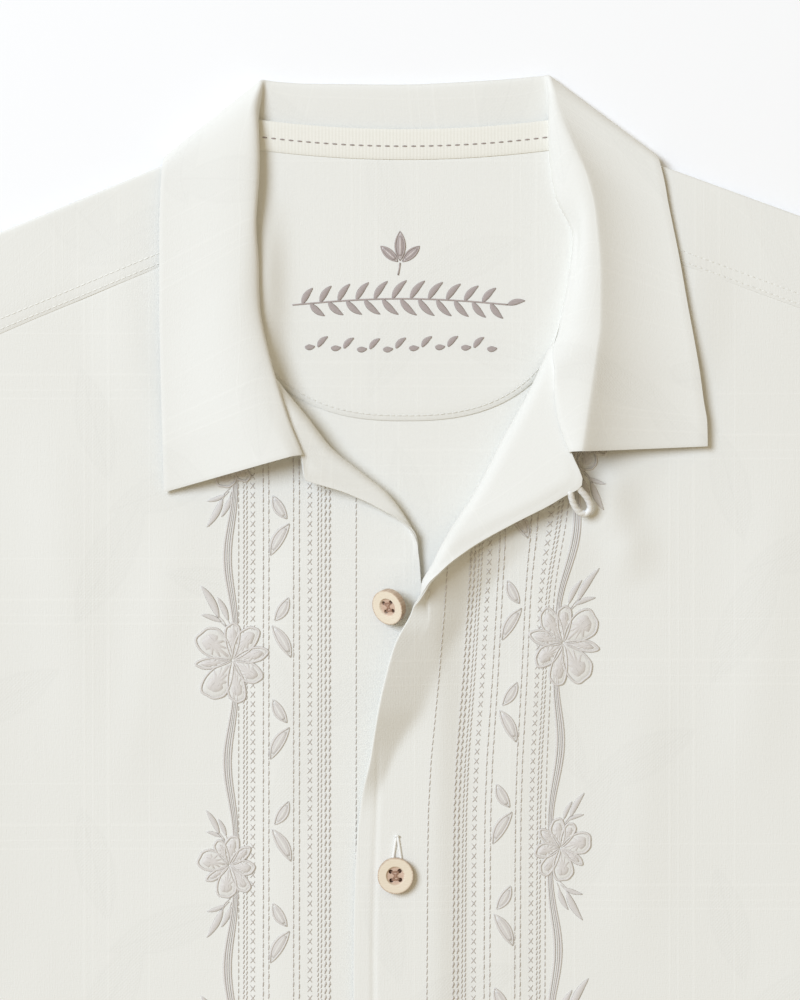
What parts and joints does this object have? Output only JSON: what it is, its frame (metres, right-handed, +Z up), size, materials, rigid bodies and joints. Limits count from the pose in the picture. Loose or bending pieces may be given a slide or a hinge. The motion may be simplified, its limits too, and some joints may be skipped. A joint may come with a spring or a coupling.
{
  "type": "camp shirt",
  "caption": "Short-sleeved camp shirt with an open notch collar, laid out flat with its front up.",
  "frame": {"origin": "centre of the shirt's bounding box, on the surface that it lies on", "axes": "+Z up out of the front, +X to the right of a viewer who looks down on the front, which is the wearer's left, +Y towards the collar"},
  "size_m": [0.933, 0.7987, 0.0194],
  "materials": {
    "shirt_cloth": "soft off-white silk weave with a faint tonal figure",
    "neck_tape": "fine ribbed cream tape",
    "button_wood": "turned pale wood, satin",
    "loop_cord": "twisted off-white cord",
    "stitch_thread": "soft sheen taupe sewing and embroidery thread",
    "cloth_thread": "matt cream sewing thread"
  },
  "bodies": {
    "root": {"back": "shirt_cloth", "front_right": "shirt_cloth", "facing_right": "shirt_cloth", "front_left": "shirt_cloth", "facing_left": "shirt_cloth", "collar": "shirt_cloth", "neck_tape": "neck_tape", "neck_patch": "shirt_cloth", "sleeve_right": "shirt_cloth", "sleeve_left": "shirt_cloth", "button_1": "button_wood", "button_2": "button_wood", "button_3": "button_wood", "button_4": "button_wood", "button_5": "button_wood", "button_neck": "button_wood", "loop": "loop_cord"}
  },
  "joints": []
}
